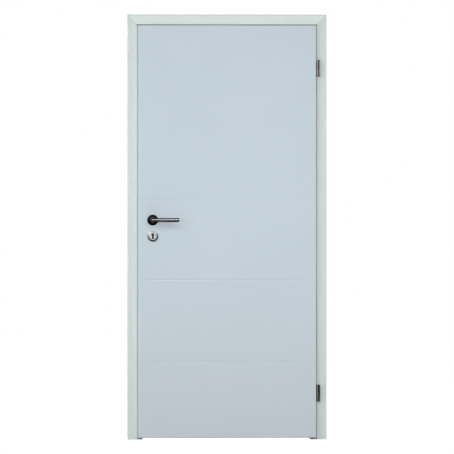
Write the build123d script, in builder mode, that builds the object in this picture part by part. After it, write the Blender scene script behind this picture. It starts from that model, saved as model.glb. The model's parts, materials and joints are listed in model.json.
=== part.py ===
"""Interior door: a rebated leaf with level grooves, hung on two knuckle hinges in a mitred casing frame.

The leaf's front lip laps over the casing, and its thinner rebated part closes inside the frame against a seal.
It opens towards the front, -Y. The hinges are on the right, +X, and the lock on the left.
Sizes are in millimetres. The origin is at floor level on the back of the hinge side front casing,
in the middle of the strip that lies against the wall, so y = 0 is the wall's front face.
"""

import os

from build123d import *

os.makedirs("parts", exist_ok=True)

# Frame. The passage is the clear way between the jambs.
passage_width = 811.0
passage_height = 1968.0
wall_thickness = 125.0
lining_thickness = 22.0
lining_round = 2.0
frame_rebate = 15.0  # passage face to the rebate's side
rebate_depth = 28.0  # casing front to the stop that carries the seal
casing_width = 60.0
casing_thickness = 16.0
casing_leg = 14.0  # the front casing's leg, which makes the rebate's side
foam_joint = 12.0  # lining or leg to the edge of the wall
relief_depth = 1.0  # how far a casing stands off behind the foam joint
casing_outer_round = 4.0
casing_inner_round = 2.0
back_casing_step = 2.0  # passage face to the back casing's inner edge
tongue_thickness = 6.0
tongue_length = 20.0
tongue_line = 11.0  # passage face to the middle of the tongue
glue_clearance = 0.1

# Seal, a soft bulb with a stem in the stop's groove.
seal_line = 5.25  # passage face to the middle of the seal
seal_stem = 2.6
seal_groove_depth = 6.0
seal_foot_width = 8.0
seal_foot = 1.2
seal_clearance = 0.3

# Leaf.
lip_overlap = 9.5  # how far the lip laps over the casing
lip_gap = 5.0  # casing front to the lip's back
edge_gap = 5.6  # rebate's side to the leaf's rebated edge
floor_gap = 7.5
leaf_thickness = 40.0
lip_thickness = 14.5
skin_thickness = 5.0
leaf_round = 3.0
stile_width = 105.0
rail_height = 60.0
groove_count = 3
groove_first_height = 371.5
groove_pitch = 395.5
groove_width = 9.0
groove_depth = 1.0

# Lock, with its bolts drawn back into the case.
lever_height = 1055.0
key_drop = 78.0  # lever axis to the middle of the keyhole
backset = 55.0
lock_setback = 12.5  # leaf back to the middle of the lock
forend_length = 235.0
forend_width = 18.0
forend_thickness = 3.0
forend_rise = 78.0  # lever axis to the forend's top
case_length = 165.0
case_depth = 80.0
case_thickness = 14.0
case_rise = 45.0  # lever axis to the case's top
case_clearance = 0.5
latch_height = 32.0
latch_thickness = 10.0
latch_length = 35.0
latch_slope = 8.0  # how far the latch's slanted tip runs back
latch_nose = 2.0  # what stays flat at the tip, on the front side
latch_rise = 14.0  # lever axis to the middle of the latch
bolt_height = 30.0
bolt_thickness = 8.0
bolt_length = 42.0
bolt_drop = 14.0  # middle of the keyhole to the middle of the dead bolt
bolt_clearance = 0.3
keyhole_height = 24.0
keyhole_head = 10.0
keyhole_slot = 6.0
keyhole_spare = 1.0  # how much wider the hole is behind the rosettes
key_stop = 4.0  # what closes the keyhole in the middle of the case, in place of the lock's levers

# Strike plate, let into the rebate's side.
strike_length = 190.0
strike_width = 25.0
strike_thickness = 2.0
strike_round = 3.0
strike_rise = 50.0  # lever axis to the plate's top
strike_front_edge = 1.0  # casing front to the plate
strike_spare_height = 2.0  # room above and below a bolt in the plate
strike_spare_depth = 0.6  # room in front of and behind it

# Lever set.
rosette_radius = 26.0
rosette_height = 8.0
rosette_bevel = 8.0  # how wide the sloping border is
rosette_bevel_height = 3.0
lever_radius = 9.5
lever_reach = 123.0  # lever axis to the tip
lever_projection = 50.0  # leaf face to the middle of the grip
lever_bend = 18.0
lever_seat = 1.5  # leaf face to the neck's end, inside the rosette
lever_tip_round = 1.0
neck_clearance = 0.08
spindle_side = 8.0
spindle_in_lever = 28.0
spindle_hole_radius = 7.0
spindle_clearance = 0.05

# Hinges. The knuckle stands beside the lip's edge.
upper_hinge_drop = 198.5  # rebate's top to the middle of the upper hinge
lower_hinge_height = 223.5
knuckle_radius = 8.0
knuckle_gap = 2.0  # lip's edge to the knuckle
knuckle_length = 79.0
knuckle_chamfer = 0.8
knuckle_space = 0.4  # between the two knuckles
hinge_pin_radius = 4.0
hinge_pin_clearance = 0.08
hinge_pin_rise = 32.0
plug_radius = 3.5
plug_clearance = 0.1
plug_length = 45.0  # lip's edge to the plug's end in the leaf
plug_rises = (11.0, 31.0)  # hinge middle to each plug
lug_thickness = 5.0
lug_height = 32.0
lug_drop = 21.0  # hinge middle to the middle of the lug
lug_depth = 22.0  # wall's front face to the lug's end
lug_clearance = 0.2
pocket_wall = 1.8
pocket_spare = 4.0  # the pocket's metal above and below the lug

# Places that follow from the sizes above.
passage_half = passage_width / 2
rebate_half = passage_half + frame_rebate
rebate_top = passage_height + frame_rebate
middle_x = -(rebate_half + (casing_leg + foam_joint + casing_width) / 2)
casing_front = -casing_thickness
stop_y = casing_front + rebate_depth

leaf_half = rebate_half + lip_overlap
leaf_top = rebate_top + lip_overlap
leaf_height = leaf_top - floor_gap
inner_half = rebate_half - edge_gap
inner_top = rebate_top - edge_gap
lip_back = casing_front - lip_gap
leaf_front = lip_back - lip_thickness
leaf_back = leaf_front + leaf_thickness
core_front = leaf_front + skin_thickness
core_back = leaf_back - skin_thickness
groove_heights = [groove_first_height + n * groove_pitch for n in range(groove_count)]

lock_edge_x = middle_x - inner_half
lock_y = leaf_back - lock_setback
spindle_x = lock_edge_x + backset
key_height = lever_height - key_drop
latch_z = lever_height + latch_rise
bolt_z = key_height - bolt_drop

hinge_x = middle_x + leaf_half + knuckle_gap + knuckle_radius
hinge_y = (leaf_front + lip_back) / 2
plug_y = (core_front + lip_back) / 2
hinge_heights = {
    "upper": rebate_top - upper_hinge_drop,
    "lower": lower_hinge_height,
}


def facing(y):
    """A plane across the door at depth y, seen from the front. A negative extrusion goes deeper."""
    return Plane.XZ.offset(-y)


def save(piece, label):
    piece.label = label
    export_step(piece, f"parts/{label}.step")


def block(x_low, x_high, y_low, y_high, z_low, z_high):
    """A plain block between two corners, to add to or cut from a piece."""
    with BuildPart() as made:
        with BuildSketch(facing(y_low)):
            with Locations(((x_low + x_high) / 2, (z_low + z_high) / 2)):
                Rectangle(x_high - x_low, z_high - z_low)
        extrude(amount=-(y_high - y_low))
    return made.part


# Frame sections. In each, x runs outwards from the passage or the rebate, and y from front to back.
def front_casing_section():
    with BuildSketch() as section:
        with BuildLine():
            Polyline(
                (0, casing_front),
                (casing_width, casing_front),
                (casing_width, 0),
                (casing_leg + foam_joint, 0),
                (casing_leg + foam_joint, -relief_depth),
                (casing_leg, -relief_depth),
                (casing_leg, stop_y),
                (0, stop_y),
                close=True,
            )
        make_face()
        fillet(section.vertices().group_by(Axis.Y)[0].sort_by(Axis.X)[-1], casing_outer_round)
        fillet(section.vertices().group_by(Axis.Y)[0].sort_by(Axis.X)[0], casing_inner_round)
    return section.sketch


def lining_section():
    with BuildSketch() as section:
        with Locations((lining_thickness / 2, (stop_y + wall_thickness) / 2)):
            Rectangle(lining_thickness, wall_thickness - stop_y)
        fillet(section.vertices().group_by(Axis.Y)[0].sort_by(Axis.X)[0], lining_round)
        with Locations((seal_line, stop_y)):
            Rectangle(seal_stem + 2 * glue_clearance, 2 * seal_groove_depth, mode=Mode.SUBTRACT)
        with Locations((tongue_line, wall_thickness)):
            groove_depth_in_lining = tongue_length + glue_clearance
            Rectangle(tongue_thickness + 2 * glue_clearance, 2 * groove_depth_in_lining, mode=Mode.SUBTRACT)
    return section.sketch


def back_casing_section():
    with BuildSketch() as section:
        with Locations((back_casing_step + casing_width / 2, wall_thickness + casing_thickness / 2)):
            Rectangle(casing_width, casing_thickness)
        fillet(section.vertices().group_by(Axis.Y)[-1].sort_by(Axis.X)[-1], casing_outer_round)
        fillet(section.vertices().group_by(Axis.Y)[-1].sort_by(Axis.X)[0], casing_inner_round)
        with Locations((lining_thickness + foam_joint / 2, wall_thickness)):
            Rectangle(foam_joint, 2 * relief_depth, mode=Mode.SUBTRACT)
        with Locations((tongue_line, wall_thickness - tongue_length / 2)):
            Rectangle(tongue_thickness, tongue_length)
    return section.sketch


def seal_section():
    bulb_radius = (stop_y - leaf_back - seal_clearance) / 2
    with BuildSketch() as section:
        with Locations((seal_line, stop_y - bulb_radius)):
            Circle(bulb_radius)
        with Locations((seal_line, stop_y - seal_foot / 2)):
            Rectangle(seal_foot_width, seal_foot)
        with Locations((seal_line, stop_y + (seal_groove_depth - glue_clearance) / 2)):
            Rectangle(seal_stem, seal_groove_depth - glue_clearance)
    return section.sketch


def mitred_frame(section, half, top):
    """Strike jamb, hinge jamb and head of one section, whose zero line runs half beside and top above."""
    members = {}
    mitres = []
    reach = top + 2 * casing_width
    for name, side in (("strike", -1), ("hinge", 1)):
        edge_x = middle_x + side * half
        mitre = Plane(origin=(edge_x, 0, top), z_dir=(-side, 0, 1))
        mitres.append(mitre)
        with BuildPart() as jamb:
            with BuildSketch(Plane(origin=(edge_x, 0, 0), x_dir=(side, 0, 0), z_dir=(0, 0, side))):
                add(section)
            extrude(amount=side * reach)
            split(bisect_by=mitre, keep=Keep.BOTTOM)
        members[name] = jamb.part
    with BuildPart() as head:
        with BuildSketch(Plane(origin=(middle_x, 0, top), x_dir=(0, 0, 1), z_dir=(-1, 0, 0))):
            add(section)
        extrude(amount=half + 2 * casing_width, both=True)
        for mitre in mitres:
            split(bisect_by=mitre, keep=Keep.TOP)
    members["head"] = head.part
    return members


# Linings, seals and back casings are plain mitred lengths.
linings = mitred_frame(lining_section(), passage_half, passage_height)
save(linings["strike"], "strike_jamb_lining")
save(linings["hinge"], "hinge_jamb_lining")
save(linings["head"], "head_lining")

seals = mitred_frame(seal_section(), passage_half, passage_height)
save(seals["strike"], "strike_jamb_seal")
save(seals["hinge"], "hinge_jamb_seal")
save(seals["head"], "head_seal")

back_casings = mitred_frame(back_casing_section(), passage_half, passage_height)
save(back_casings["strike"], "strike_back_casing")
save(back_casings["hinge"], "hinge_back_casing")
save(back_casings["head"], "head_back_casing")

front_casings = mitred_frame(front_casing_section(), rebate_half, rebate_top)
save(front_casings["head"], "head_front_casing")

# Strike plate. It lies flush in the rebate's side, with an opening for each bolt.
strike_x = middle_x - rebate_half
strike_top = lever_height + strike_rise
strike_y = casing_front + strike_front_edge + strike_width / 2
strike_z = strike_top - strike_length / 2
strike_plane = Plane.YZ.offset(strike_x - strike_thickness)


def strike_outline():
    """The plate without its openings. Its x is depth and its y is height."""
    with BuildSketch() as outline:
        with Locations((strike_y, strike_z)):
            RectangleRounded(strike_width, strike_length, strike_round)
    return outline.sketch


def strike_openings():
    with BuildSketch() as openings:
        for height, tall, thick in ((latch_z, latch_height, latch_thickness), (bolt_z, bolt_height, bolt_thickness)):
            with Locations((lock_y, height)):
                Rectangle(thick + 2 * strike_spare_depth, tall + 2 * strike_spare_height)
    return openings.sketch


with BuildPart() as strike_plate:
    with BuildSketch(strike_plane):
        add(strike_outline())
        add(strike_openings(), mode=Mode.SUBTRACT)
    extrude(amount=strike_thickness)
save(strike_plate.part, "strike_plate")

with BuildPart() as strike_front_casing:
    add(front_casings["strike"])
    with BuildSketch(strike_plane):
        add(strike_outline())
    extrude(amount=strike_thickness, mode=Mode.SUBTRACT)
    with BuildSketch(strike_plane):
        add(strike_openings())
    extrude(amount=-casing_leg, mode=Mode.SUBTRACT)
save(strike_front_casing.part, "strike_front_casing")

# Hinge side front casing, with a slot through its face for each hinge lug.
with BuildPart() as hinge_front_casing:
    add(front_casings["hinge"])
    with BuildSketch(facing(casing_front)):
        for height in hinge_heights.values():
            with Locations((hinge_x, height - lug_drop)):
                Rectangle(lug_thickness + 2 * lug_clearance, lug_height + 2 * lug_clearance)
    extrude(amount=-casing_thickness, mode=Mode.SUBTRACT)
save(hinge_front_casing.part, "hinge_front_casing")


# Hinges.
def hinge_frame_knuckle(height):
    """Lower knuckle with the pin that the leaf turns on and the lug that goes through the casing."""
    bottom = height - knuckle_length / 2
    top = height - knuckle_space / 2
    with BuildPart() as knuckle:
        with BuildSketch(Plane.XY.offset(bottom)):
            with Locations((hinge_x, hinge_y)):
                Circle(knuckle_radius)
        extrude(amount=top - bottom)
        chamfer(knuckle.edges().filter_by(GeomType.CIRCLE).group_by(Axis.Z)[0], knuckle_chamfer)
        with BuildSketch(Plane.XY.offset(top)):
            with Locations((hinge_x, hinge_y)):
                Circle(hinge_pin_radius)
        extrude(amount=height + hinge_pin_rise - top)
        add(
            block(
                hinge_x - lug_thickness / 2,
                hinge_x + lug_thickness / 2,
                hinge_y,
                lug_depth,
                height - lug_drop - lug_height / 2,
                height - lug_drop + lug_height / 2,
            )
        )
    return knuckle.part


def hinge_leaf_knuckle(height):
    """Upper knuckle, which turns on the pin and is held in the leaf by two round plugs."""
    bottom = height + knuckle_space / 2
    top = height + knuckle_length / 2
    with BuildPart() as knuckle:
        with BuildSketch(Plane.XY.offset(bottom)):
            with Locations((hinge_x, hinge_y)):
                Circle(knuckle_radius)
        extrude(amount=top - bottom)
        chamfer(knuckle.edges().filter_by(GeomType.CIRCLE).group_by(Axis.Z)[-1], knuckle_chamfer)
        with BuildSketch(Plane.YZ.offset(middle_x + leaf_half - plug_length)):
            for rise in plug_rises:
                with Locations((plug_y, height + rise)):
                    Circle(plug_radius)
        extrude(amount=plug_length + knuckle_gap + knuckle_radius / 2)
        with BuildSketch(Plane.XY.offset(bottom)):
            with Locations((hinge_x, hinge_y)):
                Circle(hinge_pin_radius + hinge_pin_clearance)
        extrude(amount=hinge_pin_rise, mode=Mode.SUBTRACT)
    return knuckle.part


def hinge_pocket(height):
    """Steel pocket behind the casing that grips the lug, open at the front."""
    pocket_x = middle_x + rebate_half + casing_leg
    with BuildPart() as pocket:
        add(
            block(
                pocket_x,
                hinge_x + lug_thickness / 2 + lug_clearance + pocket_wall,
                0,
                lug_depth + lug_clearance + pocket_wall,
                height - lug_drop - lug_height / 2 - pocket_spare,
                height - lug_drop + lug_height / 2 + pocket_spare,
            )
        )
        add(
            block(
                hinge_x - lug_thickness / 2 - lug_clearance,
                hinge_x + lug_thickness / 2 + lug_clearance,
                0,
                lug_depth + lug_clearance,
                height - lug_drop - lug_height / 2 - lug_clearance,
                height - lug_drop + lug_height / 2 + lug_clearance,
            ),
            mode=Mode.SUBTRACT,
        )
    return pocket.part


for place, height in hinge_heights.items():
    save(hinge_frame_knuckle(height), f"{place}_hinge_frame_knuckle")
    save(hinge_leaf_knuckle(height), f"{place}_hinge_leaf_knuckle")
    save(hinge_pocket(height), f"{place}_hinge_pocket")


# Leaf.
def keyhole(spare=0.0):
    """Bit key hole: a round head over a narrower slot, seen from the front."""
    top = keyhole_height / 2
    head_radius = keyhole_head / 2
    head_z = key_height + top - head_radius
    foot_z = key_height - top - spare
    with BuildSketch() as hole:
        with Locations((spindle_x, head_z)):
            Circle(head_radius + spare)
        with Locations((spindle_x, (head_z + foot_z) / 2)):
            Rectangle(keyhole_slot + 2 * spare, head_z - foot_z)
    return hole.sketch


def leaf_openings(y_low, y_high):
    """What is cut through the leaf for the spindle and the key, from y_low to y_high."""
    with BuildPart() as cut:
        with BuildSketch(facing(y_low)):
            with Locations((spindle_x, lever_height)):
                Circle(spindle_hole_radius)
            add(keyhole(keyhole_spare))
        extrude(amount=-(y_high - y_low))
    return cut.part


def skin(half_width, bottom, top, outer_y, inward):
    """A facing board. Its outer face at outer_y has the level grooves, and inward is 1 at the front, -1 at the back."""
    with BuildPart() as board:
        with BuildSketch(facing(outer_y)):
            with Locations((middle_x, (bottom + top) / 2)):
                Rectangle(2 * half_width, top - bottom)
        extrude(amount=-inward * skin_thickness)
        outer_face = board.faces().sort_by(Axis.Y)[0 if inward > 0 else -1]
        fillet(outer_face.edges(), leaf_round)
        with BuildSketch(Plane.YZ.offset(middle_x)):
            for height in groove_heights:
                with Locations((outer_y, height)):
                    Polygon(
                        (0, groove_width / 2),
                        (inward * groove_depth, 0),
                        (0, -groove_width / 2),
                        align=None,
                    )
        extrude(amount=half_width, both=True, mode=Mode.SUBTRACT)
        y_low, y_high = sorted((outer_y, outer_y + inward * skin_thickness))
        add(leaf_openings(y_low, y_high), mode=Mode.SUBTRACT)
    return board.part


save(skin(leaf_half, floor_gap, leaf_top, leaf_front, 1), "leaf_front_skin")


def leaf_member(x_low, x_high, z_low, z_high):
    """A length of the leaf's rebated frame between the skins: the lip layer and the deeper rebated part."""
    with BuildPart() as member:
        add(block(x_low, x_high, core_front, lip_back, z_low, z_high))
        add(
            block(
                max(x_low, middle_x - inner_half),
                min(x_high, middle_x + inner_half),
                lip_back,
                core_back,
                z_low,
                min(z_high, inner_top),
            )
        )
    return member.part


lock_stile_x = middle_x - leaf_half + stile_width
hinge_stile_x = middle_x + leaf_half - stile_width
top_rail_z = leaf_top - rail_height
bottom_rail_z = floor_gap + rail_height

save(leaf_member(lock_stile_x, hinge_stile_x, top_rail_z, leaf_top), "leaf_top_rail")
save(leaf_member(lock_stile_x, hinge_stile_x, floor_gap, bottom_rail_z), "leaf_bottom_rail")
save(leaf_member(lock_stile_x, hinge_stile_x, bottom_rail_z, top_rail_z), "leaf_core")

with BuildPart() as hinge_stile:
    add(leaf_member(hinge_stile_x, middle_x + leaf_half, floor_gap, leaf_top))
    with BuildSketch(Plane.YZ.offset(middle_x + leaf_half - plug_length)):
        for height in hinge_heights.values():
            for rise in plug_rises:
                with Locations((plug_y, height + rise)):
                    Circle(plug_radius + plug_clearance)
    extrude(amount=plug_length, mode=Mode.SUBTRACT)
save(hinge_stile.part, "leaf_hinge_stile")

# Lock. The forend lies flush in the leaf's rebated edge.
forend_top = lever_height + forend_rise
forend_z = forend_top - forend_length / 2
case_top = lever_height + case_rise


def forend(spare=0.0):
    with BuildPart() as plate:
        with BuildSketch(Plane.YZ.offset(lock_edge_x)):
            with Locations((lock_y, forend_z)):
                SlotOverall(forend_length + 2 * spare, forend_width + 2 * spare, rotation=90)
        extrude(amount=forend_thickness)
    return plate.part


def lock_body(spare=0.0):
    """The case behind the forend, or its pocket in the stile when spare is more than nothing."""
    return block(
        lock_edge_x + forend_thickness,
        lock_edge_x + case_depth + spare,
        lock_y - case_thickness / 2 - spare,
        lock_y + case_thickness / 2 + spare,
        case_top - case_length - spare,
        case_top + spare,
    )


def bolt(length, thickness, tall, height, spare=0.0):
    return block(
        lock_edge_x,
        lock_edge_x + length + spare,
        lock_y - thickness / 2 - spare,
        lock_y + thickness / 2 + spare,
        height - tall / 2 - spare,
        height + tall / 2 + spare,
    )


with BuildPart() as back_skin:
    add(skin(inner_half, floor_gap, inner_top, leaf_back, -1))
    add(forend(glue_clearance), mode=Mode.SUBTRACT)
save(back_skin.part, "leaf_back_skin")

with BuildPart() as lock_case:
    add(forend())
    add(lock_body())
    add(bolt(latch_length, latch_thickness, latch_height, latch_z, bolt_clearance), mode=Mode.SUBTRACT)
    add(bolt(bolt_length, bolt_thickness, bolt_height, bolt_z, bolt_clearance), mode=Mode.SUBTRACT)
    add(leaf_openings(lock_y - case_thickness / 2, lock_y + case_thickness / 2), mode=Mode.SUBTRACT)
    with BuildSketch(facing(lock_y - key_stop / 2)):
        add(keyhole(keyhole_spare))
    extrude(amount=-key_stop)
save(lock_case.part, "lock_case")

with BuildPart() as latch_bolt:
    add(bolt(latch_length, latch_thickness, latch_height, latch_z))
    tip = latch_bolt.faces().sort_by(Axis.X)[0]
    chamfer(tip.edges().sort_by(Axis.Y)[-1], length=latch_thickness - latch_nose, length2=latch_slope, reference=tip)
save(latch_bolt.part, "latch_bolt")

with BuildPart() as dead_bolt:
    add(bolt(bolt_length, bolt_thickness, bolt_height, bolt_z))
save(dead_bolt.part, "dead_bolt")

with BuildPart() as lock_stile:
    add(leaf_member(middle_x - leaf_half, lock_stile_x, floor_gap, leaf_top))
    add(forend(glue_clearance), mode=Mode.SUBTRACT)
    add(lock_body(case_clearance), mode=Mode.SUBTRACT)
    add(leaf_openings(core_front, core_back), mode=Mode.SUBTRACT)
save(lock_stile.part, "leaf_lock_stile")


# Lever set. side is -1 on the front of the leaf and 1 on its back.
def rosette(face_y, side, height):
    with BuildPart() as disc:
        with BuildSketch(facing(face_y)):
            with Locations((spindle_x, height)):
                Circle(rosette_radius)
        extrude(amount=-side * rosette_height)
        rim = disc.edges().group_by(Axis.Y)[0 if side < 0 else -1]
        chamfer(rim, length=rosette_bevel_height, length2=rosette_bevel, reference=disc.faces().sort_by(Axis.Y)[1])
    return disc.part


def lever_rosette(face_y, side):
    with BuildPart() as disc:
        add(rosette(face_y, side, lever_height))
        with BuildSketch(facing(face_y)):
            with Locations((spindle_x, lever_height)):
                Circle(lever_radius + neck_clearance)
        extrude(amount=-side * rosette_height, mode=Mode.SUBTRACT)
    return disc.part


def key_rosette(face_y, side):
    with BuildPart() as disc:
        add(rosette(face_y, side, key_height))
        with BuildSketch(facing(face_y)):
            add(keyhole())
        extrude(amount=-side * rosette_height, mode=Mode.SUBTRACT)
    return disc.part


def lever(face_y, side):
    """Round lever: a straight neck, one bend and a straight grip that points at the hinges."""
    lever_plane = Plane(origin=(spindle_x, face_y, lever_height), x_dir=(1, 0, 0), z_dir=(0, 0, side))
    bend_start = lever_projection - lever_bend
    with BuildPart() as grip:
        with BuildSketch(facing(face_y + side * lever_seat)):
            with Locations((spindle_x, lever_height)):
                Circle(lever_radius)
        extrude(amount=-side * (bend_start - lever_seat))
        with BuildSketch(facing(face_y + side * bend_start)):
            with Locations((spindle_x, lever_height)):
                Circle(lever_radius)
        bend_axis = Axis((spindle_x + lever_bend, face_y + side * bend_start, lever_height), (0, 0, -side))
        revolve(axis=bend_axis, revolution_arc=90)
        with BuildSketch(Plane.YZ.offset(spindle_x + lever_bend)):
            with Locations((face_y + side * lever_projection, lever_height)):
                Circle(lever_radius)
        extrude(amount=lever_reach - lever_bend)
        chamfer(grip.edges().group_by(Axis.X)[-1], lever_tip_round)
        add(
            block(
                spindle_x - spindle_side / 2 - spindle_clearance,
                spindle_x + spindle_side / 2 + spindle_clearance,
                min(face_y, face_y + side * spindle_in_lever),
                max(face_y, face_y + side * spindle_in_lever),
                lever_height - spindle_side / 2 - spindle_clearance,
                lever_height + spindle_side / 2 + spindle_clearance,
            ),
            mode=Mode.SUBTRACT,
        )
    return grip.part


for place, face_y, side in (("front", leaf_front, -1), ("back", leaf_back, 1)):
    save(lever_rosette(face_y, side), f"{place}_lever_rosette")
    save(key_rosette(face_y, side), f"{place}_key_rosette")
    save(lever(face_y, side), f"{place}_lever")

with BuildPart() as spindle:
    add(
        block(
            spindle_x - spindle_side / 2,
            spindle_x + spindle_side / 2,
            leaf_front - spindle_in_lever + glue_clearance,
            leaf_back + spindle_in_lever - glue_clearance,
            lever_height - spindle_side / 2,
            lever_height + spindle_side / 2,
        )
    )
save(spindle.part, "lever_spindle")
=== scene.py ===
import json
import math

import bmesh
import bpy
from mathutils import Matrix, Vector


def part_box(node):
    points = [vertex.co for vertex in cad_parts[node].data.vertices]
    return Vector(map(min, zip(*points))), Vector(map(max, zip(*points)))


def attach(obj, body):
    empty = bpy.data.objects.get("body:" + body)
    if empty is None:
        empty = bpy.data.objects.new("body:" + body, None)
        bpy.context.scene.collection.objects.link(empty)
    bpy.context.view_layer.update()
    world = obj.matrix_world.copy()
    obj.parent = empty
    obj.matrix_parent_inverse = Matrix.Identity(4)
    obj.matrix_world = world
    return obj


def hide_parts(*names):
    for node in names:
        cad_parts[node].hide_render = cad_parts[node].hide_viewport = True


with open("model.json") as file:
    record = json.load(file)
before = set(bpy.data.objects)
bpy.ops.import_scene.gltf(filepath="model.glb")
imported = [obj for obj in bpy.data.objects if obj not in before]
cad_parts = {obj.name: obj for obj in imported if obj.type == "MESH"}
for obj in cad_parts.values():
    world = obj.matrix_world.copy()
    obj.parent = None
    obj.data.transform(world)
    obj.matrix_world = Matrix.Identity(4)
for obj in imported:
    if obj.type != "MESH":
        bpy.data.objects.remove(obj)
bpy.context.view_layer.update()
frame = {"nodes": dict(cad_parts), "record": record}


# Places, all taken from the frame
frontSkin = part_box("leaf_front_skin")
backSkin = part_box("leaf_back_skin")
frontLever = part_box("front_lever")
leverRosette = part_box("front_lever_rosette")
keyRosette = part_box("front_key_rosette")
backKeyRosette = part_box("back_key_rosette")
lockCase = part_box("lock_case")
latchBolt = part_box("latch_bolt")
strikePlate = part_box("strike_plate")
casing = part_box("hinge_front_casing")
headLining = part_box("head_lining")
middleX = (frontSkin[0].x + frontSkin[1].x) / 2
frameTop = casing[1].z
spindleX = (leverRosette[0].x + leverRosette[1].x) / 2
leverZ = (leverRosette[0].z + leverRosette[1].z) / 2
keyZ = (keyRosette[0].z + keyRosette[1].z) / 2
leafFront = frontSkin[0].y
leafBack = backSkin[1].y
middleY = (leafFront + leafBack) / 2
neckRadius = (frontLever[1].z - frontLever[0].z) / 2
gripReach = middleY - frontLever[0].y - neckRadius  # from the leaf's middle to the middle of a grip
mitreOffset = (casing[1].x - middleX) - frameTop  # the same on every mitre of the frame

# The keyhole: a round head over a slot, with painted shade inside it and round its edge
keyholeLook = {
    "headRise": 0.007,  # over the rosette's middle
    "headRadius": 0.005,
    "slotHalf": 0.003,
    "slotDrop": 0.012,
    "shadeRim": 0.0012,  # painted shade: the dark edge round the hole
    "halfWidth": 0.0064,  # of the box that holds the hole's dark inside
    "halfHeight": 0.0135,
    "inset": 0.0008,  # how far under the rosettes' faces that box starts
}
keyholeLow = keyZ - keyholeLook["halfHeight"]
keyholeHigh = keyZ + keyholeLook["halfHeight"]
keyway = (
    (spindleX - keyholeLook["halfWidth"], keyRosette[0].y + keyholeLook["inset"], keyholeLow),
    (spindleX + keyholeLook["halfWidth"], backKeyRosette[1].y - keyholeLook["inset"], keyholeHigh),
)

# Bare board in the bores through the leaf, and in the pockets behind the strike plate
boreLook = {
    "half": 0.0075,  # half the width of the bores through the leaf
    "inset": 0.0003,  # how far under the lacquer's face their bare board starts
    "pocketDepth": 0.0115,
}
leafBores = (
    (spindleX - boreLook["half"], leafFront + boreLook["inset"], keyholeLow),
    (spindleX + boreLook["half"], leafBack - boreLook["inset"], leverZ + boreLook["half"]),
)
strikeBores = (
    (strikePlate[0].x - boreLook["pocketDepth"], strikePlate[0].y, strikePlate[0].z),
    (strikePlate[0].x, strikePlate[1].y, strikePlate[1].z),
)

# Painted shade: the dark gap beside the knuckles of a hinge
gapShade = {
    "colour": (0.03, 0.032, 0.03),
    "half": 0.004,  # to each side of the leaf's edge
    "shadeOnEdge": 0.0017,  # how far it runs onto the leaf's rounded edge
    "inFront": 0.001,  # of the casing's face, or of the leaf's
    "behind": 0.003,  # the casing's face
}
hingeGaps = []
for hinge in ("upper", "lower"):
    knuckles = [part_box(f"{hinge}_hinge_{part}_knuckle") for part in ("frame", "leaf")]
    ends = [corner.z for knuckle in knuckles for corner in knuckle]
    hingeGaps.append((
        (frontSkin[1].x - gapShade["half"], casing[0].y - gapShade["inFront"], min(ends)),
        (frontSkin[1].x + gapShade["half"], casing[0].y + gapShade["behind"], max(ends)),
    ))


# Shader maths: a Wire is one output socket, and sums on wires add nodes
class Wire:
    def __init__(self, graph, socket):
        self.graph = graph
        self.socket = socket

    def __add__(self, other):
        return self.graph.sum("ADD", self, other)

    def __radd__(self, other):
        return self.graph.sum("ADD", other, self)

    def __sub__(self, other):
        return self.graph.sum("SUBTRACT", self, other)

    def __rsub__(self, other):
        return self.graph.sum("SUBTRACT", other, self)

    def __mul__(self, other):
        return self.graph.sum("MULTIPLY", self, other)

    def __rmul__(self, other):
        return self.graph.sum("MULTIPLY", other, self)

    def __abs__(self):
        return self.graph.node("Math", {"operation": "ABSOLUTE"}, {0: self})

    def axis(self, name):
        return self.graph.node("SeparateXYZ", {}, {0: self}, output=name)

    def length(self):
        return self.graph.node("VectorMath", {"operation": "LENGTH"}, {0: self}, output="Value")

    def between(self, low, high):  # 0 below low, 1 above high, smooth in the middle
        settings = {"interpolation_type": "SMOOTHSTEP"}
        return self.graph.node("MapRange", settings, {"Value": self, "From Min": low, "From Max": high})

    def centred(self):  # noise moved to lie about zero
        return self - 0.5

    def above(self, limit):
        return self.graph.sum("GREATER_THAN", self, limit)

    def within(self, low, high):
        return self.above(low) * (1 - self.above(high))

    def either(self, other):
        return self.graph.sum("MAXIMUM", self, other)


class Graph:
    def __init__(self, tree):
        self.tree = tree
        tree.nodes.clear()

    def node(self, kind, settings, values, output=0):
        made = self.tree.nodes.new("ShaderNode" + kind)
        for name, value in settings.items():
            setattr(made, name, value)
        for name, value in values.items():
            socket = made.inputs[name]
            if isinstance(value, Wire):
                self.tree.links.new(value.socket, socket)
            elif socket.type == "RGBA" and len(value) == 3:
                socket.default_value = (*value, 1)
            else:
                socket.default_value = value
        return Wire(self, made.outputs[output]) if made.outputs else None

    def sum(self, operation, first, second):
        wires = [part for part in (first, second) if isinstance(part, Wire)]
        if any(wire.socket.type != "VALUE" for wire in wires):
            first, second = (self.spread(part) for part in (first, second))
            return self.node("VectorMath", {"operation": operation}, {0: first, 1: second})
        return self.node("Math", {"operation": operation}, {0: first, 1: second})

    def spread(self, part):  # a number as a vector with that number three times
        return (part,) * 3 if isinstance(part, (int, float)) else part

    def mix(self, factor, first, second, blend="MIX"):
        settings = {"data_type": "RGBA", "blend_type": blend}
        return self.node("Mix", settings, {0: factor, 6: first, 7: second}, output=2)

    def mixShader(self, factor, first, second):
        return self.node("MixShader", {}, {0: factor, 1: first, 2: second})

    def place(self):
        return self.node("TexCoord", {}, {}, output="Object")

    def noise(self, place, scale, detail=2.0, roughness=0.5):
        values = {"Vector": place, "Scale": scale, "Detail": detail, "Roughness": roughness}
        return self.node("TexNoise", {}, values)

    def bump(self, height, distance, strength=1.0, normal=None):
        values = {"Height": height, "Distance": distance, "Strength": strength}
        if normal is not None:
            values["Normal"] = normal
        return self.node("Bump", {}, values)

    def surface(self, values):
        self.node("OutputMaterial", {}, {"Surface": self.node("BsdfPrincipled", {}, values)})


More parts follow.
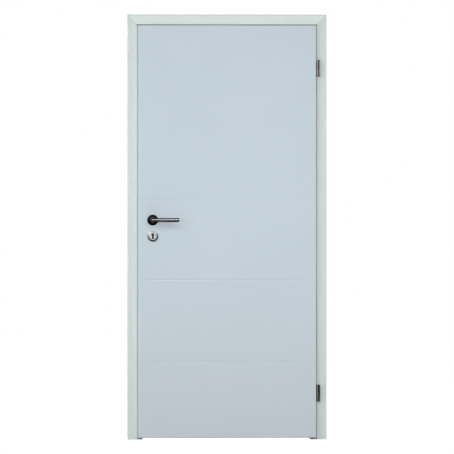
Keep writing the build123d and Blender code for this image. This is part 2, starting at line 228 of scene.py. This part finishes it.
def newMaterial(name):
    material = bpy.data.materials.new(name)
    material.use_nodes = True
    return material, Graph(material.node_tree)


def insideBox(place, low, high):
    # 1 inside a box between two corners
    x, y, z = (place.axis(name).within(least, most) for name, least, most in zip("XYZ", low, high))
    return x * y * z


# Lacquer, as far as the leaf and the frame share it. A Size is a noise's scale per metre, an Edge is where
# that noise starts to count and where it counts in full, and a Share is how much of a colour it brings.
lacquerLook = {
    "ior": 1.46,
    "toneSize": 2.4,
    "toneEdge": (0.3, 0.7),
    "peelSize": 420.0,
    "peelHeight": 0.00002,
    "peelStrength": 0.6,
    "glossSize": 38.0,
    "glossSpread": 0.05,
    "markSize": (55.0, 55.0, 900.0),  # fine rubbed marks, long across and short upwards
    "markEdge": (0.66, 0.74),
    "scuffLow": 0.02,  # metres over the floor, up to which the marks are full; scuffTop is where they end
    "scuffSize": 14.0,
    "scuffEdge": (0.45, 0.7),
    "scuffShare": 0.22,
    "scuffColour": (0.30, 0.31, 0.31),
    "scuffRough": 0.2,
    "bareRough": 0.3,  # more on the bare board of the bores
}


def lacquer(name, look, details, bores):
    # details adds what the leaf alone or the frame alone has
    material, graph = newMaterial(name)
    place = graph.place()
    height = place.axis("Z")
    tone = graph.noise(place, look["toneSize"]).between(*look["toneEdge"])
    colour = graph.mix(tone, look["colour"], look["shade"])
    colour = graph.mix(1 - height.between(0.0, look["footTop"]), colour, look["foot"])
    gloss = graph.noise(place, look["glossSize"], detail=4.0, roughness=0.6)
    rough = look["roughness"] + look["glossSpread"] * gloss.centred()
    marks = graph.noise(place * look["markSize"], 1.0, roughness=0.7).between(*look["markEdge"])
    low = 1 - height.between(look["scuffLow"], look["scuffTop"])
    scuffs = marks * low * graph.noise(place, look["scuffSize"]).between(*look["scuffEdge"])
    colour = graph.mix(scuffs * look["scuffShare"], colour, look["scuffColour"])
    rough = rough + scuffs * look["scuffRough"]
    wave = graph.noise(place, look["waveSize"], detail=1.0)
    peel = graph.noise(place, look["peelSize"], detail=3.0, roughness=0.55)
    relief = graph.bump(wave, look["waveHeight"])
    relief = graph.bump(peel, look["peelHeight"], look["peelStrength"], relief)
    colour, rough, relief = details(graph, place, look, colour, rough, relief)
    bare = insideBox(place, *bores)
    graph.surface({
        "Base Color": graph.mix(bare, colour, look["bareBoard"]),
        "Roughness": rough + bare * look["bareRough"],
        "IOR": look["ior"],
        "Normal": relief,
    })
    return material


leafLook = {
    **lacquerLook,
    "colour": (0.563, 0.655, 0.716),
    "shade": (0.549, 0.642, 0.699),
    "roughness": 0.62,
    "waveSize": 9.0,
    "waveHeight": 0.0002,
    "foot": (0.574, 0.644, 0.690),  # the tone that the colour turns to near the floor
    "footTop": 1.0,  # metres over the floor
    "scuffTop": 0.28,
    "touchNear": 0.03,  # metres from the lever, between which hands leave marks
    "touchReach": 0.16,
    "touchSize": 45.0,
    "touchShare": 0.05,
    "touchColour": (0.42, 0.43, 0.40),
    "touchRough": 0.1,
    "edgeGrime": {"right": 0.42, "top": 0.50, "left": 0.30},  # painted shade: the dark line along the lip's edge
    "edgeWidth": 0.0024,
    "edgeFull": 0.5,  # the share of that width where the line is full
    "edgeDepth": 0.004,
    "bareBoard": (0.26, 0.19, 0.12),
}


def leafDetails(graph, place, look, colour, rough, relief):
    # marks of hands round the lever, painted shade along the lip's edge, and painted shade in the gaps beside
    # the knuckles
    away = (place - (spindleX, leafFront, leverZ)).length()
    touched = 1 - away.between(look["touchNear"], look["touchReach"])
    touched = touched * graph.noise(place, look["touchSize"], detail=3.0)
    colour = graph.mix(touched * look["touchShare"], colour, look["touchColour"])
    rough = rough + touched * look["touchRough"]
    inset = {
        "right": frontSkin[1].x - place.axis("X"),
        "left": place.axis("X") - frontSkin[0].x,
        "top": frontSkin[1].z - place.axis("Z"),
    }
    nearFront = 1 - (place.axis("Y") - leafFront).above(look["edgeDepth"])
    width = look["edgeWidth"]
    # painted shade: darker along the lip's edges
    for edge, away in inset.items():
        line = nearFront * (1 - away.between(width * look["edgeFull"], width))
        colour = colour * (1 - line * look["edgeGrime"][edge])
    # painted shade in the gaps beside the knuckles
    for low, high in hingeGaps:
        low = (frontSkin[1].x - gapShade["shadeOnEdge"], leafFront - gapShade["inFront"], low[2])
        colour = graph.mix(insideBox(place, low, high) * nearFront, colour, gapShade["colour"])
    return colour, rough, relief


frameLook = {
    **lacquerLook,
    "colour": (0.648, 0.717, 0.693),
    "shade": (0.635, 0.701, 0.679),
    "roughness": 0.64,
    "waveSize": 6.0,
    "waveHeight": 0.0003,
    "foot": (0.649, 0.709, 0.689),
    "footTop": 0.8,
    "scuffTop": 0.22,
    "headTone": 1.128,  # painted light: the head's boards, times the tone of the jambs' boards
    "lipGrime": {"right": 0.62, "top": 0.55, "left": 0.24},  # painted shadow: the dark line beside the leaf's lip
    "lipWidth": {"right": 0.0062, "top": 0.0055, "left": 0.0045},
    "lipFull": 0.4,  # the share of that width where the line is full
    "lipUnder": 0.003,  # how far it runs under the lip
    "rimShade": {"right": 0.04, "top": 0.10},  # painted shade on the rounded outer edges
    "rimWidth": 0.0045,
    "rimFull": 0.7,
    "mitreFoot": 0.1,  # metres under the head's lining, below which there is no mitre
    "seamColour": (0.20, 0.22, 0.21),
    "seamShare": 0.45,
    "seamHalf": (0.0001, 0.0006),  # half its width, where it is full and where it ends
    "seamDepth": 0.0002,
    "bareBoard": (0.50, 0.37, 0.24),
}


def frameDetails(graph, place, look, colour, rough, relief):
    # painted light on the head's boards, painted shadow beside the leaf's lip, painted shade on the outer
    # edges and in the hinge gaps, and the mitres' seams
    height = place.axis("Z")
    pastMitre = abs(place.axis("X") - middleX) - height - mitreOffset
    nearHead = height.above(headLining[0].z - look["mitreFoot"])
    head = (1 - pastMitre.above(0.0)) * nearHead
    # painted light: the head's boards made lighter
    colour = colour * (1 + head * (look["headTone"] - 1))
    beyond = {
        "right": place.axis("X") - frontSkin[1].x,
        "left": frontSkin[0].x - place.axis("X"),
        "top": height - frontSkin[1].z,
    }
    # painted shadow beside the leaf's lip
    for edge, away in beyond.items():
        width = look["lipWidth"][edge]
        line = away.above(-look["lipUnder"]) * (1 - away.between(width * look["lipFull"], width))
        if edge == "top":
            line = line * (1 - beyond["right"].above(width)) * (1 - beyond["left"].above(width))
        else:
            line = line * (1 - beyond["top"].above(0.0))
        colour = colour * (1 - line * look["lipGrime"][edge])
    fromRim = {"right": casing[1].x - place.axis("X"), "top": frameTop - height}
    for edge, away in fromRim.items():
        rim = 1 - away.between(look["rimWidth"] * look["rimFull"], look["rimWidth"])
        colour = colour * (1 - rim * look["rimShade"][edge])
    # painted shade in the gaps beside the knuckles
    for low, high in hingeGaps:
        colour = graph.mix(insideBox(place, low, high), colour, gapShade["colour"])
    seam = (1 - abs(pastMitre).between(*look["seamHalf"])) * nearHead
    colour = graph.mix(seam * look["seamShare"], colour, look["seamColour"])
    relief = graph.bump(1 - seam, look["seamDepth"], normal=relief)
    return colour, rough, relief


# Chipboard inside the leaf
coreLook = {
    "colour": (0.52, 0.38, 0.22),
    "dark": (0.33, 0.22, 0.12),
    "roughness": 0.8,
    "flakeSize": 260.0,
    "flakeShare": 0.25,
    "patchSize": 156.0,
    "patchHeight": 0.0003,
}


def chipboard(name, look):
    material, graph = newMaterial(name)
    place = graph.place()
    flakes = graph.node("TexVoronoi", {}, {"Vector": place, "Scale": look["flakeSize"]}, output="Color")
    patches = graph.noise(place, look["patchSize"], detail=4.0)
    colour = graph.mix(patches, look["colour"], look["dark"])
    graph.surface({
        "Base Color": graph.mix(look["flakeShare"], colour, flakes, "OVERLAY"),
        "Roughness": look["roughness"],
        "Normal": graph.bump(patches, look["patchHeight"]),
    })
    return material


# Soft seal
sealLook = {
    "colour": (0.52, 0.55, 0.54),
    "roughness": 0.7,
    "grainSize": 1400.0,
    "grainHeight": 0.00006,
    "dustColour": (0.62, 0.62, 0.58),
    "dustSize": 25.0,
    "dustEdge": (0.4, 0.8),
    "dustShare": 0.3,
    "dustRough": 0.12,
}


def rubber(name, look):
    material, graph = newMaterial(name)
    place = graph.place()
    grain = graph.noise(place, look["grainSize"])
    dust = graph.noise(place, look["dustSize"], detail=4.0, roughness=0.6).between(*look["dustEdge"])
    graph.surface({
        "Base Color": graph.mix(dust * look["dustShare"], look["colour"], look["dustColour"]),
        "Roughness": look["roughness"] + dust * look["dustRough"],
        "Normal": graph.bump(grain, look["grainHeight"]),
    })
    return material


# Brushed steel on the levers, rosettes, hinges and lock
steelLook = {
    "wearSize": 130.0,
    "wearEdge": (0.5, 0.9),
    "wearShare": 0.5,
    "wornTone": 1.1,  # times the colour
    "smudgeSize": 32.0,
    "smudgeEdge": (0.45, 0.75),
    "smudgeRough": 0.03,
    "brushRough": 0.08,
    "insideRough": 0.3,  # more in the keyhole
}
leverLook = {
    **steelLook,
    "colour": (0.11, 0.107, 0.103),
    "rim": 0.03,  # the tone of reflections at a flat angle
    "roughness": 0.11,
    "lineHeight": 0.000003,
}
leverRosetteLook = {
    **steelLook,
    "colour": (0.004, 0.004, 0.004),
    "rim": 0.1,
    "roughness": 0.28,
    "lineHeight": 0.000006,
}
keyRosetteLook = {
    **steelLook,
    "colour": (0.155, 0.163, 0.161),
    "rim": 1.0,
    "roughness": 0.36,
    "lineHeight": 0.000006,
    "inside": (0.02, 0.018, 0.015),  # painted shade: the unlit, oiled inside of the keyhole
}
leafKnuckleLook = {
    **steelLook,
    "colour": (0.09, 0.091, 0.087),
    "rim": 0.05,
    "roughness": 0.13,
    "lineHeight": 0.000006,
}
frameKnuckleLook = {
    **steelLook,
    "colour": (0.088, 0.086, 0.077),
    "rim": 0.05,
    "roughness": 0.22,
    "lineHeight": 0.000006,
}
lockLook = {
    **steelLook,
    "colour": (0.55, 0.55, 0.54),
    "rim": 1.0,
    "roughness": 0.34,
    "lineHeight": 0.00001,
    # painted shade: the unlit inside of the keyhole
    "inside": (0.02, 0.018, 0.015),
}
# The brushing's noise per metre, first along the lines and then across them
brushing = {
    "lever": (35.0, 2200.0),
    "turned": (20.0, 2600.0),
    "level": (60.0, 2400.0),
    "upright": (45.0, 1900.0),
}


def keyholeShadeRim(place):
    # 1 on the painted shade round the keyhole
    look = keyholeLook
    aside = abs(place.axis("X") - spindleX)
    height = place.axis("Z") - keyZ
    reach = ((place - (spindleX, 0, keyZ + look["headRise"])) * (1, 0, 1)).length()
    head = 1 - reach.above(look["headRadius"] + look["shadeRim"])
    slot = 1 - aside.above(look["slotHalf"] + look["shadeRim"])
    return head.either(slot * height.within(-look["slotDrop"] - look["shadeRim"], look["headRise"]))


def steel(name, look, lines):
    # lines makes the brushing from the graph and the place
    material, graph = newMaterial(name)
    place = graph.place()
    brushed = lines(graph, place)
    wear = graph.noise(place, look["wearSize"], detail=4.0, roughness=0.6).between(*look["wearEdge"])
    smudge = graph.noise(place, look["smudgeSize"], detail=3.0).between(*look["smudgeEdge"])
    worn = tuple(part * look["wornTone"] for part in look["colour"])
    colour = graph.mix(wear * look["wearShare"], look["colour"], worn)
    rough = look["roughness"] + look["brushRough"] * brushed.centred() + look["smudgeRough"] * smudge
    if "inside" in look:
        # painted shade in the keyhole and round it
        inside = insideBox(place, *keyway).either(keyholeShadeRim(place))
        colour = graph.mix(inside, colour, look["inside"])
        rough = rough + inside * look["insideRough"]
    graph.surface({
        "Base Color": colour,
        "Metallic": 1.0,
        "Specular Tint": (look["rim"],) * 3,
        "Roughness": rough,
        "Normal": graph.bump(brushed, look["lineHeight"]),
    })
    return material


def brushNoise(graph, place):
    return graph.noise(place, 1.0, detail=3.0, roughness=0.6)


def leverLines(graph, place):
    # lines along the neck, seen on the grip as a fine grain, and the grip's own on the outer corner alone
    along, across = brushing["lever"]
    neck = brushNoise(graph, place * (across, along, across))
    grip = brushNoise(graph, place * (along, across, across))
    fromCorner = place.axis("X") - spindleX - abs(place.axis("Y") - middleY) + gripReach
    inside = fromCorner.above(0.0)
    return neck * inside + grip * (1 - inside)


def turnedLines(centreZ):
    def lines(graph, place):
        along, across = brushing["turned"]
        radius = ((place - (spindleX, 0, centreZ)) * (1, 0, 1)).length()
        ring = graph.node("CombineXYZ", {}, {0: radius * across, 1: place.axis("X") * along})
        return brushNoise(graph, ring)
    return lines


def levelLines(graph, place):
    along, across = brushing["level"]
    return brushNoise(graph, place * (along, along, across))


def uprightLines(graph, place):
    along, across = brushing["upright"]
    return brushNoise(graph, place * (across, across, along))


# Dark plastic of the lever's bush
bushLook = {
    "colour": (0.025, 0.025, 0.026),
    "pale": (0.05, 0.05, 0.05),
    "paleSize": 90.0,
    "roughness": 0.5,
    "grainSize": 2600.0,
    "grainRough": 0.15,
    "grainHeight": 0.00003,
}


def plastic(name, look):
    material, graph = newMaterial(name)
    place = graph.place()
    grain = graph.noise(place, look["grainSize"])
    graph.surface({
        "Base Color": graph.mix(graph.noise(place, look["paleSize"]), look["colour"], look["pale"]),
        "Roughness": look["roughness"] + look["grainRough"] * grain.centred(),
        "Normal": graph.bump(grain, look["grainHeight"]),
    })
    return material


# The finishes by material slot, and those that single pieces have of their own
leverSteel = steel("leverSteel", leverLook, leverLines)
leverRosetteSteel = steel("leverRosetteSteel", leverRosetteLook, turnedLines(leverZ))
keyRosetteSteel = steel("keyRosetteSteel", keyRosetteLook, turnedLines(keyZ))
frameKnuckleSteel = steel("frameKnuckleSteel", frameKnuckleLook, levelLines)
lockSteel = steel("lockSteel", lockLook, uprightLines)
bushPlastic = plastic("bushPlastic", bushLook)
finishes = {
    "leaf_lacquer": lacquer("leafLacquer", leafLook, leafDetails, leafBores),
    "frame_lacquer": lacquer("frameLacquer", frameLook, frameDetails, strikeBores),
    "core_board": chipboard("coreBoard", coreLook),
    "seal_rubber": rubber("sealRubber", sealLook),
    "satin_steel": leverSteel,
    "hinge_steel": steel("leafKnuckleSteel", leafKnuckleLook, levelLines),
    "lock_steel": lockSteel,
}
ownFinishes = {
    "front_lever_rosette": leverRosetteSteel,
    "back_lever_rosette": leverRosetteSteel,
    "front_key_rosette": keyRosetteSteel,
    "back_key_rosette": keyRosetteSteel,
    "upper_hinge_frame_knuckle": frameKnuckleSteel,
    "lower_hinge_frame_knuckle": frameKnuckleSteel,
}
for part in frame["record"]["subparts"]:
    node = frame["nodes"][part["node"]]
    finish = ownFinishes.get(part["node"], finishes[part["material_slot"]])
    if not node.material_slots:
        node.data.materials.append(None)
    for holder in node.material_slots:
        holder.material = finish
print("dressed", len(frame["nodes"]), "nodes")


# Small pieces
def acrossFrame(centre, facing):
    # the centre, two directions across the facing direction, and the facing direction itself
    facing = Vector(facing)
    side = Vector((0, 0, 1)) if facing.z == 0 else Vector((1, 0, 0))
    right = side.cross(facing)
    return Vector(centre), right, facing.cross(right), facing


def joinRings(build, low, high):
    for n in range(len(low)):
        m = (n + 1) % len(low)
        build.faces.new((low[n], low[m], high[m], high[n]))


def addPiece(name, build, material, body):
    bmesh.ops.recalc_face_normals(build, faces=build.faces)
    mesh = bpy.data.meshes.new(name)
    build.to_mesh(mesh)
    build.free()
    piece = bpy.data.objects.new(name, mesh)
    bpy.context.scene.collection.objects.link(piece)
    piece.data.materials.append(material)
    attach(piece, body)
    return piece


def turned(name, outline, centre, facing, steps, material, body):
    # outline is (radius, height) pairs round a closed section
    centre, right, up, out = acrossFrame(centre, facing)
    build = bmesh.new()
    spokes = []
    for n in range(steps):
        angle = 2 * math.pi * n / steps
        spoke = right * math.cos(angle) + up * math.sin(angle)
        spokes.append([build.verts.new(centre + spoke * radius + out * height) for radius, height in outline])
    for n in range(steps):
        joinRings(build, spokes[n], spokes[(n + 1) % steps])
    return addPiece(name, build, material, body)


def circle(radius, steps):
    turns = [2 * math.pi * n / steps for n in range(steps)]
    return [(radius * math.cos(turn), radius * math.sin(turn)) for turn in turns]


def crossOutline(arm, slot):
    quarter = ((arm, -slot), (arm, slot), (slot, slot))
    points = []
    for cosine, sine in ((1, 0), (0, 1), (-1, 0), (0, -1)):
        points += [(x * cosine - y * sine, x * sine + y * cosine) for x, y in quarter]
    return points


def screwHead(name, look, drive, centre, facing, body):
    # drive is the outline of the recess, which narrows to its floor
    centre, right, up, out = acrossFrame(centre, facing)
    build = bmesh.new()

    def ring(points, height):
        return [build.verts.new(centre + right * x + up * y + out * height) for x, y in points]

    rim = ring(circle(look["radius"], look["steps"]), 0)
    top = ring(circle(look["radius"] - look["edge"], look["steps"]), look["rise"])
    mouth = ring(drive, look["rise"])
    floorPoints = [(x * look["floorShare"], y * look["floorShare"]) for x, y in drive]
    floor = ring(floorPoints, look["rise"] - look["recess"])
    joinRings(build, rim, top)
    joinRings(build, mouth, floor)
    build.faces.new(floor)
    edges = []
    for loop in (top, mouth):
        for n in range(len(loop)):
            ends = (loop[n], loop[(n + 1) % len(loop)])
            edges.append(build.edges.get(ends) or build.edges.new(ends))
    bmesh.ops.triangle_fill(build, edges=edges, use_beauty=True)
    return addPiece(name, build, lockSteel, body)


# Screws of the lock's front plate and of the strike plate
screwLook = {
    "radius": 0.0037,
    "rise": 0.0004,
    "edge": 0.0007,  # the slope round the head
    "recess": 0.0011,
    "floorShare": 0.7,  # the recess's floor, as a share of its mouth
    "arm": 0.0019,
    "slot": 0.00042,
    "steps": 28,
    "forendInset": 0.0115,  # from the plate's ends
    "strikeInset": 0.012,
}
crossDrive = crossOutline(screwLook["arm"], screwLook["slot"])
lockY = (latchBolt[0].y + latchBolt[1].y) / 2
forendScrews = {
    "lower": lockCase[0].z + screwLook["forendInset"],
    "upper": lockCase[1].z - screwLook["forendInset"],
}
for end, height in forendScrews.items():
    centre = (lockCase[0].x, lockY, height)
    screwHead(f"forendScrew_{end}", screwLook, crossDrive, centre, (-1, 0, 0), "leaf")
strikeY = (strikePlate[0].y + strikePlate[1].y) / 2
strikeScrews = {
    "lower": strikePlate[0].z + screwLook["strikeInset"],
    "middle": (leverZ + keyZ) / 2,
    "upper": strikePlate[1].z - screwLook["strikeInset"],
}
for end, height in strikeScrews.items():
    centre = (strikePlate[1].x, strikeY, height)
    screwHead(f"strikeScrew_{end}", screwLook, crossDrive, centre, (1, 0, 0), "frame")

# The bush round the lever's neck
bushShape = {
    "inner": 0.00965,
    "outer": 0.0122,
    "depth": 0.002,  # in the rosette
    "side": 0.00028,  # the upright part of its side, over the rosette
    "rise": 0.0007,
    "slope": 0.0005,
    "steps": 64,
}


def addBush(side, outward, faceY):
    shape = bushShape
    section = [
        (shape["inner"], -shape["depth"]),
        (shape["outer"], -shape["depth"]),
        (shape["outer"], shape["side"]),
        (shape["outer"] - shape["slope"], shape["rise"]),
        (shape["inner"], shape["rise"]),
    ]
    centre = (spindleX, faceY, leverZ)
    facing = (0, outward, 0)
    turned(f"leverBush_{side}", section, centre, facing, shape["steps"], bushPlastic, "leaf")


# The fine ring on the key rosette
ringShape = {
    "radius": 0.0162,
    "half": 0.0004,  # half its width at the foot
    "topHalf": 0.0002,
    "rise": 0.00025,
    "steps": 72,
}


def addRing(side, outward, faceY):
    shape = ringShape
    section = [
        (shape["radius"] - shape["half"], -shape["rise"]),
        (shape["radius"] + shape["half"], -shape["rise"]),
        (shape["radius"] + shape["topHalf"], shape["rise"]),
        (shape["radius"] - shape["topHalf"], shape["rise"]),
    ]
    centre = (spindleX, faceY, keyZ)
    facing = (0, outward, 0)
    turned(f"keyRing_{side}", section, centre, facing, shape["steps"], keyRosetteSteel, "leaf")


# The grub screw under the lever's neck
grubLook = {
    "radius": 0.0026,
    "rise": 0.0003,
    "edge": 0.0004,
    "recess": 0.0012,
    "floorShare": 0.7,
    "socket": 0.0014,
    "socketSides": 6,
    "steps": 20,
    "fromFace": 0.0045,  # how far the screw stands in front of the rosette's face
}


def addGrub(side, outward, faceY):
    drive = circle(grubLook["socket"], grubLook["socketSides"])
    centre = (spindleX, faceY + outward * grubLook["fromFace"], leverZ - neckRadius)
    screwHead(f"grubScrew_{side}", grubLook, drive, centre, (0, 0, -1), "handle")


# The lever: a round neck and a round grip that meet at a mitre, in place of the plain bent tube
leverShape = {
    "seat": 0.0065,  # from the tube's inner end to where the neck starts
    "mitreEase": 0.0012,  # to each side of the mitre
    "mitreDent": 0.00021,  # how far the joint lies under the tube's skin
    "tipRound": 0.0012,
    "tipRings": 4,
    "steps": 64,
}


def addLever(side, outward):
    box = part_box(f"{side}_lever")
    shape = leverShape
    gripY = box[0].y + neckRadius if outward < 0 else box[1].y - neckRadius
    neckEnd = (box[1].y if outward < 0 else box[0].y) + outward * shape["seat"]
    tip = box[1].x
    build = bmesh.new()

    def ring(radius, spot):
        # spot gives x and y from the radius times the cosine of the angle round the tube
        points = []
        for n in range(shape["steps"]):
            turn = 2 * math.pi * n / shape["steps"]
            x, y = spot(radius * math.cos(turn))
            points.append(build.verts.new((x, y, leverZ + radius * math.sin(turn))))
        return points

    def mitreRing(radius, shift):
        # shift is how far the ring lies past the mitre, and back on the neck where it is negative
        ahead = max(shift, 0)
        back = min(shift, 0)
        return ring(radius, lambda across: (spindleX + across + ahead, gripY - outward * (across - back)))

    rings = [
        ring(neckRadius, lambda across: (spindleX + across, neckEnd)),
        mitreRing(neckRadius, -shape["mitreEase"]),
        mitreRing(neckRadius - shape["mitreDent"], 0),
        mitreRing(neckRadius, shape["mitreEase"]),
    ]
    rounding = shape["tipRound"]
    for n in range(shape["tipRings"]):
        turn = math.pi / 2 * n / (shape["tipRings"] - 1)
        radius = neckRadius - rounding * (1 - math.cos(turn))
        x = tip - rounding + rounding * math.sin(turn)
        rings.append(ring(radius, lambda across: (x, gripY - outward * across)))
    for low, high in zip(rings, rings[1:]):
        joinRings(build, low, high)
    build.faces.new(rings[0])
    build.faces.new(rings[-1])
    piece = addPiece(f"lever_{side}", build, leverSteel, "handle")
    for face in piece.data.polygons:
        face.use_smooth = len(face.vertices) == 4
    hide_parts(f"{side}_lever")


for side, outward in (("front", -1), ("back", 1)):
    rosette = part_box(f"{side}_lever_rosette")
    faceY = rosette[0].y if outward < 0 else rosette[1].y
    addBush(side, outward, faceY)
    addRing(side, outward, faceY)
    addGrub(side, outward, faceY)
    addLever(side, outward)
print("added screws, bushes, rings and levers")


# Floor, white background, lamps and camera
stageLook = {
    "floorReach": 30.0,
    "floorAlbedo": 0.40,
    "underAlbedo": 0.95,  # behind the casings' faces, where the floor lights the linings' feet
    "underDepth": 0.12,
    "shadowShare": 0.25,  # how much of the floor's seen white comes from the lamps
    "shadowNear": 0.8,  # metres from the door where the floor starts to turn plain white
    "shadowFar": 1.6,
    "floorGlow": 1.02,  # the floor's own glow where that share is 0
    "shadowGlow": 0.42,  # and where it would be 1
    "background": 1.0,
    "ambient": 0.07,
    "ambientColour": (0.96, 1.0, 0.99),
}


def seenRay(graph):
    # 1 for camera, glossy and transmission rays
    kinds = ("Is Camera Ray", "Is Glossy Ray", "Is Transmission Ray")
    camera, glossy, through = (graph.node("LightPath", {}, {}, output=kind) for kind in kinds)
    return camera.either(glossy).either(through)


def addFloor(look):
    reach = look["floorReach"]
    mesh = bpy.data.meshes.new("floor")
    corners = [(middleX + x * reach, y * reach, 0) for x, y in ((-1, -1), (1, -1), (1, 1), (-1, 1))]
    mesh.from_pydata(corners, [], [(0, 1, 2, 3)])
    floor = bpy.data.objects.new("floor", mesh)
    bpy.context.scene.collection.objects.link(floor)
    material, graph = newMaterial("floorWhite")

    def matt(albedo):
        return graph.node("BsdfDiffuse", {}, {"Color": (albedo,) * 3})

    def glow(strength):
        return graph.node("Emission", {}, {"Color": (1, 1, 1), "Strength": strength})

    under = (graph.place().axis("Y") - casing[0].y).within(0.0, look["underDepth"])
    plain = graph.mixShader(under, matt(look["floorAlbedo"]), matt(look["underAlbedo"]))
    away = (graph.place() - (middleX, 0, 0)).length()
    share = look["shadowShare"] * (1 - away.between(look["shadowNear"], look["shadowFar"]))
    shadowed = graph.node("AddShader", {}, {0: matt(1.0), 1: glow(look["shadowGlow"])})
    seen = graph.mixShader(share, glow(look["floorGlow"]), shadowed)
    graph.node("OutputMaterial", {}, {"Surface": graph.mixShader(seenRay(graph), plain, seen)})
    mesh.materials.append(material)


def lightWorld(look):
    world = bpy.data.worlds.new("studio")
    world.use_nodes = True
    bpy.context.scene.world = world
    graph = Graph(world.node_tree)
    ambient = graph.node("Background", {}, {"Color": look["ambientColour"], "Strength": look["ambient"]})
    white = graph.node("Background", {}, {"Color": (1, 1, 1), "Strength": look["background"]})
    graph.node("OutputWorld", {}, {"Surface": graph.mixShader(seenRay(graph), ambient, white)})


# "at" is measured from the middle of the door's foot, in metres
lamps = {
    "strip": {"at": (0.2, -3.4, 1.22), "size": (3.0, 0.4), "power": 56.5, "colour": (0.98, 0.99, 1.0)},
    "upper": {"at": (0.6, -4.2, 2.9), "size": (2.0, 0.8), "power": 22.5, "colour": (0.98, 0.99, 1.0)},
    "left": {"at": (-9.5, -6.5, 1.3), "size": (1.1, 1.1), "power": 170.0, "colour": (1.0, 1.0, 0.98)},
    "high": {"at": (-6.0, -7.1, 5.9), "size": (1.1, 1.1), "power": 171.0, "colour": (1.0, 1.0, 0.98)},
    # behind the wall's face, for the sides, the back and the top
    "back": {"at": (0.4, 4.6, 1.5), "size": (3.0, 1.4), "power": 110.0, "colour": (0.98, 0.99, 1.0)},
    "backLeft": {"at": (-5.5, 0.8, 1.6), "size": (1.5, 1.5), "power": 150.0, "colour": (1.0, 1.0, 0.98)},
    "backRight": {"at": (5.5, 0.8, 1.6), "size": (1.5, 1.5), "power": 150.0, "colour": (1.0, 1.0, 0.98)},
    "backTop": {"at": (0.0, 1.1, 5.2), "size": (2.0, 1.0), "power": 45.0, "colour": (0.98, 0.99, 1.0)},
}


def addLamp(name, look, target):
    data = bpy.data.lights.new(name, "AREA")
    data.shape = "RECTANGLE"
    data.size, data.size_y = look["size"]
    data.energy = look["power"]
    data.color = look["colour"]
    lamp = bpy.data.objects.new(name, data)
    bpy.context.scene.collection.objects.link(lamp)
    lamp.location = Vector(look["at"]) + Vector((middleX, 0, 0))
    lamp.rotation_euler = (target - lamp.location).to_track_quat("-Z", "Y").to_euler()
    lamp.visible_camera = False


# The unlit half of the studio, in front of the door, which only polished surfaces see
darkSide = {
    "radius": 12.0,
    "start": -0.12,  # y of its open side, where 0 is the wall's face
    "lift": 0.004,  # over the floor
    "glow": 0.03,
    "steps": 24,
    "rings": 8,
    "weld": 0.001,
}
# Reflectors on that side: how bright, and where on it, as shares of its radius from the lever
reflectors = {
    "over": {"glow": 11.0, "X": (-0.5, 0.5), "Z": (0.34, 0.50), "soft": 0.05},
    "left": {"glow": 5.0, "X": (-0.92, -0.66), "Z": (-0.06, 0.30), "soft": 0.08},
}


def addDarkSide(look):
    build = bmesh.new()
    rows = []
    for ring in range(look["rings"] + 1):
        rise = math.pi / 2 * ring / look["rings"]
        out = look["radius"] * math.cos(rise)
        height = look["lift"] + look["radius"] * math.sin(rise)
        row = []
        for step in range(look["steps"] + 1):
            turn = math.pi * step / look["steps"]
            spot = (middleX - out * math.cos(turn), look["start"] - out * math.sin(turn), height)
            row.append(build.verts.new(spot))
        rows.append(row)
    for low, high in zip(rows, rows[1:]):
        for step in range(look["steps"]):
            build.faces.new((low[step], low[step + 1], high[step + 1], high[step]))
    build.faces.new(rows[0])
    bmesh.ops.remove_doubles(build, verts=build.verts, dist=look["weld"])
    mesh = bpy.data.meshes.new("darkSide")
    build.to_mesh(mesh)
    build.free()
    shell = bpy.data.objects.new("darkSide", mesh)
    bpy.context.scene.collection.objects.link(shell)
    material, graph = newMaterial("darkSide")
    away = (graph.place() - (middleX, look["start"], leverZ)) * (1 / look["radius"])
    glow = look["glow"]
    for card in reflectors.values():
        inside = card["glow"]
        for name in "XZ":
            low, high = card[name]
            along = away.axis(name)
            inside = inside * along.between(low - card["soft"], low)
            inside = inside * (1 - along.between(high, high + card["soft"]))
        glow = glow + inside
    lit = graph.node("CombineXYZ", {}, {0: glow, 1: glow, 2: glow})
    graph.node("OutputMaterial", {}, {"Surface": graph.node("Emission", {}, {"Color": lit, "Strength": 1.0})})
    mesh.materials.append(material)
    shell.visible_camera = False
    shell.visible_diffuse = False
    shell.visible_shadow = False
    shell.visible_transmission = False


# The camera stands a little to the left of the door
cameraLook = {"distance": 78.0, "azimuth": -4.9, "lens": 1286.0, "sensor": 36.0, "clipEnd": 200.0}


def addCamera(look):
    data = bpy.data.cameras.new("camera")
    data.lens = look["lens"]
    data.sensor_width = look["sensor"]
    data.clip_end = look["clipEnd"]
    camera = bpy.data.objects.new("camera", data)
    bpy.context.scene.collection.objects.link(camera)
    turn = math.radians(look["azimuth"])
    away = Vector((math.sin(turn), -math.cos(turn), 0)) * look["distance"]
    camera.location = Vector((middleX, casing[0].y, frameTop / 2)) + away
    camera.rotation_euler = (math.pi / 2, 0, turn)
    bpy.context.scene.camera = camera


addFloor(stageLook)
lightWorld(stageLook)
for name, look in lamps.items():
    addLamp(name, look, Vector((middleX, leafFront, leverZ)))
addDarkSide(darkSide)
addCamera(cameraLook)
bpy.context.scene.view_settings.view_transform = "Standard"
print("lit the studio")
